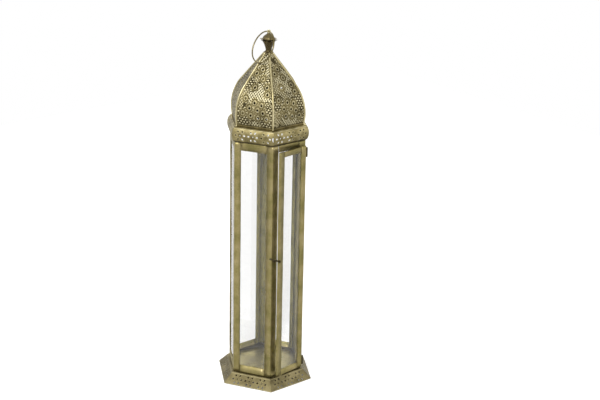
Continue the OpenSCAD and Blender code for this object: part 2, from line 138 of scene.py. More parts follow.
def piece(name, shell, body, replaced=(), material=None, smooth_below=40, attributes=None, uv=None):
    """A mesh object at the origin, from (points, quads), that rides on a body and stands for CAD nodes."""
    points, quads = shell
    points = points.reshape(-1, 3)
    mesh = bpy.data.meshes.new(name)
    mesh.vertices.add(len(points))
    mesh.vertices.foreach_set("co", points.astype(np.float32).ravel())
    mesh.loops.add(quads.size)
    mesh.loops.foreach_set("vertex_index", quads.astype(np.int32).ravel())
    mesh.polygons.add(len(quads))
    mesh.polygons.foreach_set("loop_start", np.arange(0, quads.size, 4, dtype=np.int32))
    mesh.update(calc_edges=True)
    mesh.polygons.foreach_set("use_smooth", np.ones(len(quads), bool))
    mesh.set_sharp_from_angle(angle=math.radians(smooth_below))
    for attribute, values in (attributes or {}).items():
        layer = mesh.attributes.new(attribute, "FLOAT", "POINT")
        layer.data.foreach_set("value", values.astype(np.float32).ravel())
    if uv is not None:
        layer = mesh.uv_layers.new(name="sheet")
        layer.data.foreach_set("uv", uv[quads.ravel()].astype(np.float32).ravel())
    made = bpy.data.objects.new(name, mesh)
    bpy.context.scene.collection.objects.link(made)
    mesh.materials.append(material)
    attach(made, body)
    if replaced:
        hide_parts(*replaced)
    return made


def thicken(made, inside, offset=-1.0):
    """Gives a surface the thickness of sheet: offset -1 keeps its outside, 0 its middle. The finish of
    the sheet's back is another one, because nobody polishes it."""
    made.data.materials.append(inside)
    wall = made.modifiers.new("sheet", "SOLIDIFY")
    wall.thickness = SHEET
    wall.offset = offset
    wall.material_offset = 1


def rounded(corners, radius, steps=5):
    """An open outline whose inner corners are arcs of that radius, cut down where a side is short."""
    corners = [np.array(c, float) for c in corners]
    outline = [corners[0]]
    for before, here, after in zip(corners, corners[1:], corners[2:]):
        back, on = before - here, after - here
        back_l, on_l = np.linalg.norm(back), np.linalg.norm(on)
        back, on = back/back_l, on/on_l
        half = 0.5*math.acos(np.clip(back @ on, -1, 1))
        reach = min(radius/math.tan(half), 0.45*back_l, 0.45*on_l)
        share = np.linspace(0, 1, steps + 1)[:, None]
        outline += list((1 - share)**2*(here + back*reach) + 2*share*(1 - share)*here
                        + share**2*(here + on*reach))
    return np.array(outline + [corners[-1]])


def outline_frame(outline, count):
    """An outline resampled by arc length: lengths, points and left-hand normals, count of each."""
    step = np.linalg.norm(np.diff(outline, axis=0), axis=1)
    length = np.concatenate([[0], np.cumsum(step)])
    v = np.linspace(0, length[-1], count)
    points = np.stack([np.interp(v, length, outline[:, i]) for i in (0, 1)], -1)
    along = np.gradient(points, v, axis=0)
    along /= np.linalg.norm(along, axis=1)[:, None]
    return v, points, np.stack([along[:, 1], -along[:, 0]], -1)


def sag(length, seed, size=0.14*MM):
    """The slight waviness of sheet folded by hand: three sines whose lengths and phases come from seed."""
    t = np.asarray(length)
    return size*(np.sin(t/0.031 + 1.7*seed) + 0.6*np.sin(t/0.0123 + 2.9*seed) + 0.3*np.sin(t/0.0049 + seed))


def folded(section, low, high, seed, axis="up", step=6*MM):
    """A folded strip: the section's outline carried straight from low to high, with a slight waviness.
    axis "up" reads the section as (x, y) and runs along z; "along" reads (x, z) and runs along y."""
    run = np.linspace(low, high, max(3, int((high - low)/step) + 1))
    first = section[None, :, 0] + sag(run, seed)[:, None]
    second = section[None, :, 1] + np.zeros_like(run)[:, None]
    third = run[:, None] + np.zeros(len(section))[None, :]
    columns = (first, second, third) if axis == "up" else (first, third, second)
    return np.stack(columns, -1), grid_quads(len(run), len(section))


# ---- Pressed and pierced sheet ----


def pierced(outline, half_width, step, holes, relief):
    """A sheet over one face of the hexagon, in the face's frame.
    Point (u, v) lies v along the outline and u along the face, moved along the outline's normal by
    relief(u, v). A hole (u, v, ru, rv, turn) is an ellipse: quads whose middle is inside it go, and the
    points on the border that they leave are pulled onto the ellipse. Returns the shell, (u, v) and the
    relief that its points have."""
    length = np.linalg.norm(np.diff(outline, axis=0), axis=1).sum()
    rows = int(length/step) + 2
    v_line, line, normal = outline_frame(outline, rows)
    half = half_width(line[:, 0])
    columns = int(2*half.max()/step) + 2
    share = np.linspace(-1, 1, columns)
    u = (half[:, None]*share[None, :]).ravel()
    v = np.repeat(v_line, columns)
    quads = grid_quads(rows, columns)
    kept = np.ones(len(quads), bool)
    middle_u, middle_v = u[quads].mean(1), v[quads].mean(1)
    for hole_u, hole_v, ru, rv, turn in holes:
        c, s = math.cos(turn), math.sin(turn)

        def reach(pu, pv):
            du, dv = pu - hole_u, pv - hole_v
            return np.hypot((du*c + dv*s)/ru, (dv*c - du*s)/rv)
        inside = (reach(middle_u, middle_v) < 1) & kept
        lost = np.zeros(len(u), bool)
        lost[quads[inside]] = True
        left = np.zeros(len(u), bool)
        left[quads[kept & ~inside]] = True
        border = lost & left
        pull = 1/np.maximum(reach(u[border], v[border]), 0.2)
        u[border] = hole_u + (u[border] - hole_u)*pull
        v[border] = hole_v + (v[border] - hole_v)*pull
        kept &= ~inside
    quads = quads[kept]
    used, where = np.unique(quads, return_inverse=True)
    u, v = u[used], v[used]
    quads = where.reshape(-1, 4)
    height = relief(u, v)
    x = np.interp(v, v_line, line[:, 0]) + height*np.interp(v, v_line, normal[:, 0])
    z = np.interp(v, v_line, line[:, 1]) + height*np.interp(v, v_line, normal[:, 1])
    return (np.stack([x, u, z], -1), quads), np.stack([u, v], -1), height


def step_up(value, low, high):
    """Smooth step from 0 at low to 1 at high."""
    t = np.clip((value - low)/(high - low), 0, 1)
    return t*t*(3 - 2*t)


def v_at_height(outline, z):
    """How far along an outline it first reaches a height."""
    v, line, _ = outline_frame(outline, 400)
    return float(v[np.argmax(line[:, 1] >= z)])


def rosettes(v_middle, petal=(1.9*MM, 1.25*MM), centre=1.05*MM):
    """Three rosettes in a row: a round hole and six oval petals that point to it."""
    holes = []
    for u in (-ROSETTE_PITCH, 0, ROSETTE_PITCH):
        holes.append((u, v_middle, centre, centre, 0))
        for a in np.radians(np.arange(0, 360, SIDE_TURN)):
            holes.append((u + ROSETTE_R*math.cos(a), v_middle + ROSETTE_R*math.sin(a), *petal, a))
    return holes


def rosette_relief(u, v, v_middle):
    """Each hole's pressed rim, and a shallow dished ring round the rosette's middle."""
    nearest = u - ROSETTE_PITCH*np.clip(np.round(u/ROSETTE_PITCH), -1, 1)
    r = np.hypot(nearest, v - v_middle)
    a = np.arctan2(v - v_middle, nearest)
    petal = np.hypot((r - ROSETTE_R)/(3.2*MM), r*(np.mod(a + math.pi/6, math.pi/3) - math.pi/6)/(2.5*MM))
    rim = np.exp(-((petal - 0.85)/0.22)**2)
    dish = np.exp(-((r - 3.2*MM)/(0.9*MM))**2)
    return 0.12*MM*rim - 0.1*MM*dish


# ---- Materials ----


def colour(text):
    """Linear RGBA of an sRGB hex value."""
    parts = [int(text[i:i + 2], 16)/255 for i in (1, 3, 5)]
    return [c/12.92 if c <= 0.04045 else ((c + 0.055)/1.055)**2.4 for c in parts] + [1.0]


def add(tree, kind, inputs=(), **settings):
    """Adds a node: settings are its properties, and inputs pairs a socket with a value or an output."""
    node = tree.nodes.new("ShaderNode" + kind)
    for key, value in settings.items():
        setattr(node, key, value)
    for socket, value in dict(inputs).items():
        if isinstance(value, bpy.types.NodeSocket):
            tree.links.new(value, node.inputs[socket])
        else:
            node.inputs[socket].default_value = value
    return node


def ramp(tree, value, stops):
    """A colour ramp with (place, hex) stops."""
    node = add(tree, "ValToRGB", {"Fac": value})
    while len(node.color_ramp.elements) < len(stops):
        node.color_ramp.elements.new(0.5)
    for element, (place, text) in zip(node.color_ramp.elements, stops):
        element.position = place
        element.color = colour(text)
    return node.outputs["Color"]


def mixed(tree, share, first, second, blend="MIX"):
    """Mix of two colours."""
    node = add(tree, "Mix", data_type="RGBA", blend_type=blend)
    for socket, value in ((node.inputs[0], share), (node.inputs[6], first), (node.inputs[7], second)):
        if isinstance(value, bpy.types.NodeSocket):
            tree.links.new(value, socket)
        else:
            socket.default_value = value
    return node.outputs[2]


def empty_material(name):
    """A material with only its Principled shader."""
    material = bpy.data.materials.new(name)
    material.use_nodes = True
    return material, material.node_tree, material.node_tree.nodes["Principled BSDF"]


def aged_brass(name, tones, rough, hollow_and_shade="#2E2611", gleam="#E6DCB4", chased=False, grain=(1, 1, 0.08),
               spots=0.5, bump=0.09*MM, metal=0.9):
    """Brass left to dull: a brown-olive skin in clouds 25 mm wide, darker in the hollows and in fine
    specks, rubbed bright on what stands out. chased reads the sheet's relief from its attribute, which on the
    cornice also holds painted shade under the bulge."""
    material, tree, shader = empty_material(name)
    place = add(tree, "TexCoord").outputs["Object"]
    clouds = add(tree, "TexNoise", {"Vector": place, "Scale": 38, "Detail": 4, "Roughness": 0.6})
    skin = ramp(tree, clouds.outputs["Fac"], [(0.34, tones[0]), (0.5, tones[1]), (0.66, tones[2])])
    # Tarnish specks 1 to 2 mm wide
    specks = add(tree, "TexNoise", {"Vector": place, "Scale": 520, "Detail": 5, "Roughness": 0.7})
    speck = add(tree, "MapRange", {"Value": specks.outputs["Fac"], "From Min": 0.5, "From Max": 0.72,
                                   "To Min": 0, "To Max": spots})
    skin = mixed(tree, speck.outputs["Result"], skin, colour(hollow_and_shade))
    # The mill's grain, drawn out along the strip
    stretched = add(tree, "Mapping", {"Vector": place, "Scale": grain})
    streaks = add(tree, "TexNoise", {"Vector": stretched.outputs["Vector"], "Scale": 900, "Detail": 3})
    if chased:
        relief = add(tree, "Attribute", attribute_name="chase_and_shade").outputs["Fac"]
        worn = add(tree, "Math", {0: relief, 1: specks.outputs["Fac"]}, operation="ADD")
        level = add(tree, "Math", {0: worn.outputs[0], 1: 0.5}, operation="SUBTRACT").outputs[0]
        # Low values take the hollow colour: patina in the relief's hollows, and painted shade where a piece
        # sets the attribute low, as under the cornice's bulge
        low = add(tree, "MapRange", {"Value": level, "From Min": 0.16, "From Max": 0.46,
                                     "To Min": 0.8, "To Max": 0})
        high = add(tree, "MapRange", {"Value": level, "From Min": 0.58, "From Max": 0.92,
                                      "To Min": 0, "To Max": 0.42})
        skin = mixed(tree, low.outputs["Result"], skin, colour(hollow_and_shade))
        skin = mixed(tree, high.outputs["Result"], skin, colour(gleam))
    shine = add(tree, "MapRange", {"Value": streaks.outputs["Fac"], "From Min": 0.3, "From Max": 0.7,
                                   "To Min": rough[0], "To Max": rough[1]})
    height = mixed(tree, 0.35, specks.outputs["Color"], streaks.outputs["Color"])
    dents = add(tree, "Bump", {"Height": height, "Strength": 0.6, "Distance": bump})
    tree.links.new(skin, shader.inputs["Base Color"])
    tree.links.new(shine.outputs["Result"], shader.inputs["Roughness"])
    tree.links.new(dents.outputs["Normal"], shader.inputs["Normal"])
    shader.inputs["Metallic"].default_value = metal
    return material


def clear_glass():
    """Drawn window glass, 2 mm: colourless, with a faint roll in its surface that bends reflections."""
    material, tree, shader = empty_material("window glass")
    place = add(tree, "TexCoord").outputs["Object"]
    roll = add(tree, "TexNoise", {"Vector": place, "Scale": 22, "Detail": 1})
    waves = add(tree, "Bump", {"Height": roll.outputs["Fac"], "Strength": 0.05, "Distance": 0.1*MM})
    tree.links.new(waves.outputs["Normal"], shader.inputs["Normal"])
    shader.inputs["Base Color"].default_value = colour("#FFFFFF")
    shader.inputs["Roughness"].default_value = 0.0
    shader.inputs["IOR"].default_value = 1.5
    shader.inputs["Specular IOR Level"].default_value = 0.2
    shader.inputs["Transmission Weight"].default_value = 1.0
    # Lamps shine straight through a flat pane
    shadow = add(tree, "LightPath").outputs["Is Shadow Ray"]
    through = add(tree, "BsdfTransparent")
    either = add(tree, "MixShader", {0: shadow, 1: shader.outputs[0], 2: through.outputs[0]})
    tree.links.new(either.outputs[0], tree.nodes["Material Output"].inputs["Surface"])
    return material


FRAME_BRASS = aged_brass("aged brass sheet, folded", ("#7B7346", "#8F8456", "#9F9268"), (0.36, 0.52))
FOOT_BRASS = aged_brass("brass sheet darkened by handling", ("#5C5338", "#716848", "#897E5B"), (0.36, 0.52),
                        chased=True, gleam="#CFC59C")
CORNICE_BRASS = aged_brass("aged brass sheet, pressed and pierced", ("#675D3A", "#82774F", "#9D9166"),
                           (0.34, 0.5), chased=True, spots=0.6)
DOME_BRASS = aged_brass("antiqued brass sheet, chased", ("#5A5132", "#766B45", "#8F835C"), (0.34, 0.5),
                        chased=True, spots=0.5, hollow_and_shade="#1E190C", gleam="#F4ECC8")
RIB_BRASS = aged_brass("brass wire, rubbed bright", ("#A1966C", "#B8AD84", "#CDC39C"), (0.28, 0.4),
                       spots=0.3)
WIRE_BRASS = aged_brass("brass wire, dull", ("#5A5030", "#776C46", "#958A62"), (0.3, 0.42))
CAST_BRASS = aged_brass("cast brass, dark patina", ("#3E3620", "#574C30", "#756A48"), (0.34, 0.5),
                        spots=0.6, chased=True, gleam="#B4A87C")
FITTING_BRASS = aged_brass("brass fittings, tarnished", ("#2F2814", "#453B22", "#62563A"), (0.36, 0.5))
TRAY_BRASS = aged_brass("brass plate, olive and satin", ("#463F1C", "#5A5229", "#6E663B"), (0.34, 0.46),
                        spots=0.3)
OLIVE_BRASS = aged_brass("back of brass sheet, olive", ("#6C652D", "#7E763C", "#8E864C"), (0.42, 0.56),
                         spots=0.2, metal=0.6)
# Near black: soot inside the dome and cornice, and painted shade on the back of the foot, where no flame
# reaches, so that its holes look dark
SOOT_AND_SHADE_BRASS = aged_brass("back of brass sheet, soot and painted shade", ("#1C170B", "#2A2312", "#3A3220"), (0.5, 0.65))
GLASS = clear_glass()

# ---- Foot ----

bead_r = 1.02*MM
bead_x = FOOT_A - 1.2*MM
bead = np.radians(np.linspace(180, 395, 16))
foot_outline = np.concatenate([
    np.stack([bead_x + bead_r*1.17*np.cos(bead), bead_r + bead_r*np.sin(bead)], -1),
    rounded([(bead_x + 0.4*MM, 2.4*MM), (LEDGE_A, FOOT_H), (FOOT_INNER_A, FOOT_H)], 1.2*MM)])
foot_v = v_at_height(foot_outline, FOOT_H*0.5)


def foot_relief(u, v):
    """Rims round the holes, and two pressed lines along the panel."""
    lines = sum(np.exp(-((v - foot_v - d)/(0.5*MM))**2) for d in (-11.6*MM, 11.4*MM))
    return 0.3*rosette_relief(u, v, foot_v) + 0.2*MM*lines


for k in SIDES:
    shell, uv, height = pierced(foot_outline, lambda x: x*TAN30 - 0.05*MM, 0.62*MM, rosettes(foot_v),
                                foot_relief)
    panel = piece(f"foot_panel_{k + 1}", (on_face(shell[0], k), shell[1]), "lantern",
                  [f"skirt_panel_{k + 1}"], FOOT_BRASS, uv=uv,
                  attributes={"chase_and_shade": 0.5 + height/(0.5*MM)})
    # The foot's back takes the near-black finish: painted shade inside the hollow foot
    thicken(panel, SOOT_AND_SHADE_BRASS)

# ---- Folded frame ----


def from_corner(u, v, hand):
    """In a corner's frame: u along the face on that hand (+1 ahead, -1 behind) and v into the body."""
    return (BODY_R - u*0.5 - v*COS30, hand*(u*COS30 - v*0.5))


def flange(hand, jamb):
    """A post's outer sheet on one hand, from its free edge to just before the corner."""
    mid = SHEET/2
    if jamb:
        return [from_corner(JAMB_W - mid, JAMB_RETURN, hand), from_corner(JAMB_W - mid, mid, hand)]
    return [from_corner(POST_W, mid, hand)]


for k in SIDES:
    ahead, behind = k == 5, k == 0
    mid = SHEET/2
    outer = (flange(-1, behind) + [from_corner(mid*TAN30, mid, 1)] + flange(1, ahead)[::-1])
    shells = [folded(rounded(outer, 1.3*MM), BODY_Z0, BODY_Z1, k)]
    for hand, jamb in ((1, ahead), (-1, behind)):
        if not jamb:
            channel = [from_corner(WEB_U + mid, SHEET, hand), from_corner(WEB_U + mid, CHANNEL - mid, hand),
                       from_corner(POST_W, CHANNEL - mid, hand)]
            shells.append(folded(rounded(channel[::hand], 0.6*MM), BODY_Z0, BODY_Z1, k))
    points, quads = joined(shells)
    post = piece(f"post_{k + 1}", (on_corner(points, k), quads), "lantern",
                 [f"corner_post_{k + 1}"], FRAME_BRASS)
    thicken(post, OLIVE_BRASS, offset=0)


def u_channel(height, depth, inner_height):
    """A glass channel's middle line, open downwards, with its outer wall's outside at x = 0."""
    mid = SHEET/2
    back = -depth + mid
    return [(-mid, 0), (-mid, height - mid), (back, height - mid), (back, height - inner_height)]


SEAM = 0.3*MM                                   # the open seam at each end of a rail
for k in range(1, 6):
    half = BODY_R/2 - POST_W - SEAM
    for name, up, end in (("top_rail", 1, BODY_Z1), ("bottom_rail", -1, BODY_Z0)):
        low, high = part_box(f"{name}_{k}")
        height = high.z - low.z
        section = rounded(u_channel(height, CHANNEL, RAIL_INNER_H), 0.7*MM)
        section = section*(1, up) + (BODY_A, end - up*height)
        points, quads = folded(section[::-up], -half, half, k + up, axis="along")
        rail = piece(f"{name}_strip_{k}", (on_face(points, k), quads), "lantern",
                     [f"{name}_{k}"], FRAME_BRASS)
        thicken(rail, OLIVE_BRASS, offset=0)

for name, up, end in (("door_lintel", 1, BODY_Z1), ("door_sill", -1, BODY_Z0)):
    low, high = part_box(name)
    height = high.z - low.z
    half = BODY_R/2 - JAMB_W - SEAM
    section = rounded([(-SHEET/2, 0), (-SHEET/2, height - SHEET/2), (-JAMB_RETURN, height - SHEET/2)], 0.9*MM)
    section = section*(1, up) + (BODY_A, end - up*height)
    points, quads = folded(section[::-up], -half, half, 3.3*up, axis="along")
    strip = piece(f"{name}_strip", (on_face(points, 0), quads), "lantern", [name], FRAME_BRASS)
    thicken(strip, OLIVE_BRASS, offset=0)

# ---- Door ----

hinge = Vector(JOINTS["door_hinge"]["pos_m"])
ajar = -JOINTS["door_hinge"]["range_deg"][0]
DOOR_BACK = BODY_A + 0.4*MM
DOOR_Y0 = -(BODY_R/2 - JAMB_W) - 8*MM
DOOR_Y1 = hinge.x - 2.5*MM
stile_low, stile_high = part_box("door_latch_stile")


def on_door(points):
    """From face 0's frame, with the door shut, to where the door stands ajar."""
    shut = on_face(points, 0) - np.array([hinge.x, hinge.y, 0])
    return turned(shut, ajar) + np.array([hinge.x, hinge.y, 0])


mid = SHEET/2
stile = rounded([(CHANNEL - mid, STILE_W), (CHANNEL - mid, mid), (mid, mid), (mid, STILE_W)], 0.9*MM)
for name, section, seed in (("door_latch_stile", stile + (DOOR_BACK, DOOR_Y0), 7),
                            ("door_hinge_stile", (stile*(1, -1) + (DOOR_BACK, DOOR_Y1))[::-1], 11)):
    points, quads = folded(section[::-1], stile_low.z, stile_high.z, seed)
    made = piece(f"{name}_strip", (on_door(points), quads), "door", [name], FRAME_BRASS)
    thicken(made, OLIVE_BRASS, offset=0)

for name, up, end in (("door_top_rail", 1, stile_high.z), ("door_bottom_rail", -1, stile_low.z)):
    low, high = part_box(name)
    height = high.z - low.z
    section = rounded([(CHANNEL - mid, 0), (CHANNEL - mid, height - mid),
                       (mid, height - mid), (mid, 0)], 0.9*MM)
    section = section*(1, up) + (DOOR_BACK, end - up*height)
    points, quads = folded(section[::-up], DOOR_Y0 + STILE_W + SEAM, DOOR_Y1 - STILE_W - SEAM, 5*up,
                           axis="along")
    made = piece(f"{name}_strip", (on_door(points), quads), "door", [name], FRAME_BRASS)
    thicken(made, OLIVE_BRASS, offset=0)

# ---- Cornice ----

half_h = (CORNICE_Z1 - CORNICE_Z0)/2
bulge = np.radians(np.linspace(-90, 75, 24))
bulge_line = np.stack([CORNICE_FOOT_A + (CORNICE_A - CORNICE_FOOT_A)*np.cos(bulge),
                       CORNICE_Z0 + half_h + half_h*np.sin(bulge)], -1)
gore_foot_a = COS30*(DOME_R - DOME_CURVE*(1 - math.cos(math.asin(BELLY_H/DOME_CURVE)))) - 6*MM
cornice_outline = np.concatenate([
    [(CORNICE_INNER_A, CORNICE_Z0)], bulge_line,
    [(bulge_line[-1, 0] - 0.8*MM, CORNICE_Z1), (gore_foot_a, CORNICE_Z1)]])
cornice_v = v_at_height(cornice_outline, CORNICE_Z0 + 1.04*half_h)


def cornice_relief(u, v):
    """Rims round the holes, a pressed line under them, and the shallow dents of hand planishing."""
    dents = 0.05*MM*np.sin(u/(3.1*MM) + 2*np.sin(v/(4.3*MM)))*np.sin(v/(3.7*MM))
    line = np.exp(-((v - cornice_v + 13.2*MM)/(0.6*MM))**2) + np.exp(-((v - cornice_v - 13*MM)/(0.6*MM))**2)
    return rosette_relief(u, v, cornice_v) + 0.2*MM*line + dents*step_up(v, 8*MM, 12*MM)


for k in SIDES:
    holes = rosettes(cornice_v, petal=(2.0*MM, 1.35*MM), centre=1.2*MM)
    if k == 5:
        # The mitre by the door's latch post has sprung open
        holes.append((CORNICE_A*TAN30, cornice_v - 1*MM, 3.0*MM, 5.2*MM, 0.25))
    shell, uv, height = pierced(cornice_outline, lambda x: x*TAN30 - 0.05*MM, 0.62*MM, holes, cornice_relief)
    # Over the first 13 to 17 mm along the sheet, its lower flange and the underside of the bulge, the
    # attribute falls to 0: painted shade under the bulge
    segment = piece(f"cornice_segment_{k + 1}", (on_face(shell[0], k), shell[1]), "lantern",
                    [f"cornice_{k + 1}"], CORNICE_BRASS, uv=uv,
                    attributes={"chase_and_shade": (0.52 + height/(0.5*MM))*step_up(uv[:, 1], 13*MM, 17*MM)})
    thicken(segment, SOOT_AND_SHADE_BRASS)

# ---- Dome ----

belly_z = DOME_Z0 + BELLY_H
lean_z = belly_z + DOME_CURVE*math.sin(DOME_LEAN)
lean_r = DOME_R - DOME_CURVE*(1 - math.cos(DOME_LEAN))


def dome_corner(count=120):
    """A corner of the dome: an arc from its foot past the belly, then a straight lean in to the neck."""
    a = np.linspace(-math.asin(BELLY_H/DOME_CURVE), DOME_LEAN, count)
    arc = np.stack([DOME_R - DOME_CURVE*(1 - np.cos(a)), belly_z + DOME_CURVE*np.sin(a)], -1)
    t = np.linspace(0, 1, count)[1:, None]
    return np.concatenate([arc, (1 - t)*[(lean_r, lean_z)] + t*[(NECK_R, NECK_Z)]])


# Each gore's eyes, across it and above the dome's foot: pierced ones, then blind ones
EYES = [(7, 21), (23.5, 20.5), (-8, 24), (16, 31), (5, 35), (-11.5, 37.5), (12, 44.5), (-2, 48), (20.5, 64.5),
        (-6.5, 74), (17, 76), (-10, 97), (0, 104)]
BLIND_EYES = [(-24, 27), (-21, 54), (5, 89)]


def ridge(x):
    """A triangle wave from 0 to 1 with a period of 1."""
    return 1 - np.abs(2*(x - np.floor(x)) - 1)


def lattice(u, v, pitch):
    """Sunk diamonds between two sets of crossing raised lines."""
    line = np.minimum(ridge((u + 0.75*v)/pitch), ridge((u - 0.75*v)/pitch))
    return 1 - step_up(line, 0.22, 0.6)


def dashes(u, v, pitch):
    """Wavy rows of short raised dashes, each row half a dash over from the one below."""
    row = np.floor((v + 0.8*MM*np.sin(u/(4*MM)))/pitch)
    return step_up(ridge((v + 0.8*MM*np.sin(u/(4*MM)))/pitch)*ridge(u/(1.3*pitch) + 0.5*row), 0.12, 0.5)


def scales(u, v, pitch):
    """Overlapping fish scales: each row is set half a scale over from the one below."""
    row = np.floor(v/(0.55*pitch))
    x = u/pitch + 0.5*np.mod(row, 2)
    r = np.hypot(2*(x - np.round(x)), v/(0.55*pitch) - row)
    return 1 - np.exp(-((r - 0.95)/0.22)**2) - 0.8*np.exp(-(r/0.25)**2)


def chasing(u, v, seed):
    """Height of the chased pattern from 0 to 1: ringed teardrop eyes over fields of three textures."""
    nearest = np.full(u.shape, 1.0)
    across, up = np.zeros(u.shape), np.zeros(u.shape)
    for eye_u, eye_z in EYES + BLIND_EYES:
        du, dv = u - eye_u*MM, v - v_of(eye_z)
        # The eye's rings draw out into a tail above it
        r = np.hypot(du, np.where(dv > 0, 0.72, 1.0)*dv)
        closer = r < nearest
        nearest = np.where(closer, r, nearest)
        across, up = np.where(closer, du, across), np.where(closer, dv, up)
    rings = 0.5 + 0.5*np.cos(2*math.pi*(nearest - 3.1*MM)/(4.2*MM))
    feather = 0.5 + 0.5*np.sin(13*np.arctan2(across, up + 1*MM))
    eye = 0.2 + 0.6*np.where(nearest > 5.4*MM, 0.3*rings + 0.7*feather, rings)
    choice = np.sin(u/(9*MM) + 1.3*seed + 1.1) + np.sin(v/(11*MM) - 0.7*seed) + 0.5*np.sin((u + v)/(6*MM))
    field = np.where(choice > 0.35, lattice(u, v, 5.2*MM),
                     np.where(choice < -0.65, dashes(u, v, 4.6*MM), scales(u, v, 5.6*MM)))
    # Fields meet in a chased line
    meeting = np.minimum(np.abs(choice - 0.35), np.abs(choice + 0.65))
    return np.where(nearest < 7.4*MM, eye, field*step_up(meeting, 0.03, 0.1))


gore_outline = dome_corner()*(COS30, 1)
gore_length, gore_line, _ = outline_frame(gore_outline, 600)


def v_of(height):
    """How far along a gore's outline a height above the dome's foot lies, in millimetres in."""
    return np.interp(DOME_Z0 + height*MM, gore_line[:, 1], gore_length)


HEM = 4*MM
for k in SIDES:
    def gore_relief(u, v, k=k):
        """The chasing inside a plain margin, above a raised hem."""
        half = np.interp(v, gore_length, gore_line[:, 0])*TAN30
        inside = step_up(half - np.abs(u), 2.2*MM, 3.4*MM)*step_up(v, HEM + 0.8*MM, HEM + 1.8*MM)
        hem = 0.75*MM*(1 - step_up(v, HEM - 0.3*MM, HEM + 0.2*MM))
        return 0.5*MM*(chasing(u, v, k) - 0.6)*inside + hem

    holes = [(u*MM, v_of(z), 1.9*MM, 1.9*MM, 0) for u, z in EYES]
    shell, uv, height = pierced(gore_outline, lambda x: x*TAN30 - 0.8*MM, 0.6*MM, holes, gore_relief)
    # Darker along the ribs and above the hem, and in the chased hollows
    margin = np.interp(uv[:, 1], gore_length, gore_line[:, 0])*TAN30 - np.abs(uv[:, 0])
    inside = step_up(margin, 2.2*MM, 3.4*MM)*step_up(uv[:, 1], HEM + 0.8*MM, HEM + 1.8*MM)
    darker_by_ribs_and_hem = np.exp(-((uv[:, 1] - HEM - 0.8*MM)/(0.8*MM))**2) + 0.7*np.exp(-(margin/(1.9*MM))**2)
    chase_and_shade = 0.56 + (chasing(uv[:, 0], uv[:, 1], k) - 0.56)*inside - 0.55*darker_by_ribs_and_hem
    gore = piece(f"gore_{k + 1}", (on_face(shell[0], k), shell[1]), "lantern",
                 [f"dome_gore_{k + 1}"], DOME_BRASS, uv=uv, attributes={"chase_and_shade": chase_and_shade})
    thicken(gore, SOOT_AND_SHADE_BRASS)


def rib_shell():
    """A half-round rib along a corner's outline, whose foot turns out over the cornice's ledge."""
    corner = dome_corner(60)
    foot = np.array([(corner[0, 0] + 5.4*MM, DOME_Z0 + 0.15*MM), (corner[0, 0] + 1.6*MM, DOME_Z0 + 0.5*MM)])
    path = np.concatenate([foot, corner[2:]])
    _, line, normal = outline_frame(path, 150)
    a = np.linspace(0, math.pi, 11)
    rise = np.concatenate([RIB_OUT*np.sin(a), [-0.8*MM, -0.8*MM]])
    side = np.concatenate([RIB_W/2*np.cos(a), [-RIB_W/2, RIB_W/2]])
    x = line[:, 0, None] + normal[:, 0, None]*rise
    z = np.maximum(line[:, 1, None] + normal[:, 1, None]*rise, DOME_Z0)
    y = np.broadcast_to(side, x.shape)
    return np.stack([x, y, z], -1), grid_quads(len(line), len(rise), closed=True)


rib_points, rib_quads = rib_shell()
piece("ribs", joined([(on_corner(rib_points, k), rib_quads) for k in SIDES]), "lantern",
      ["dome_ribs"], RIB_BRASS)

# ---- Finial ----

ROUND_POINTS = 144                              # points round a turned piece
COLLAR_POINTS = 30                              # points along each profile
PROFILE_POINTS = 60
CUP_INNER_POINTS = 10


def lathed(profile, lobes, count=ROUND_POINTS):
    """A turned shape: lobes(angle, share) scales and lifts each (radius, height) of the profile."""
    angle = np.linspace(0, 2*math.pi, count, endpoint=False)
    share = np.linspace(0, 1, len(profile))
    scale, lift = lobes(angle[None, :], share[:, None])
    radius = profile[:, 0, None]*scale
    height = profile[:, 1, None] + lift + 0*angle[None, :]
    points = np.stack([radius*np.cos(angle), radius*np.sin(angle), height], -1)
    return points, grid_quads(len(profile), count, closed=True)


def smooth_profile(corners, count):
    """A profile through a few (radius, height) points in millimetres, rounded twice by averaging."""
    corners = np.array(corners, float)
    t = np.linspace(0, len(corners) - 1, count)
    line = np.stack([np.interp(t, np.arange(len(corners)), corners[:, i]) for i in (0, 1)], -1)
    width = max(3, count//len(corners))
    kernel = np.ones(width)/width
    for i in (0, 1):
        padded = np.pad(line[:, i], width, mode="reflect", reflect_type="odd")
        line[:, i] = np.convolve(np.convolve(padded, kernel, "same"), kernel, "same")[width:-width]
    return line*MM


collar_low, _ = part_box("neck_collar")
cup_low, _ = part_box("finial_cup")
bud_low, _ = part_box("finial_bud")

collar_profile = smooth_profile([(9.3, 0), (8.9, 0.6), (7.3, 1.6), (6.1, 2.8), (5.6, 4)], COLLAR_POINTS)
piece("collar", lathed(collar_profile + (0, collar_low.z),
                       lambda a, t: (1 + 0.035*(1 - t)*np.cos(6*a), 0*a*t)),
      "lantern", ["neck_collar"], CAST_BRASS, smooth_below=60,
      attributes={"chase_and_shade": np.full(COLLAR_POINTS*ROUND_POINTS, 0.45)})


def cup_lobes(angle, share):
    """Eight flutes that deepen up the cup, and six pointed petals round its rim."""
    flutes = 1 + 0.05*step_up(share, 0.05, 0.4)*(1 - step_up(share, 0.75, 0.9))*np.cos(8*angle)
    petals = step_up(share, 0.66, 0.98)*(0.24*(np.abs(np.cos(3*angle))**1.6 - 1))
    lift = 0.9*MM*step_up(share, 0.66, 0.98)*(np.abs(np.cos(3*angle)) - 0.6)
    return flutes + petals, lift


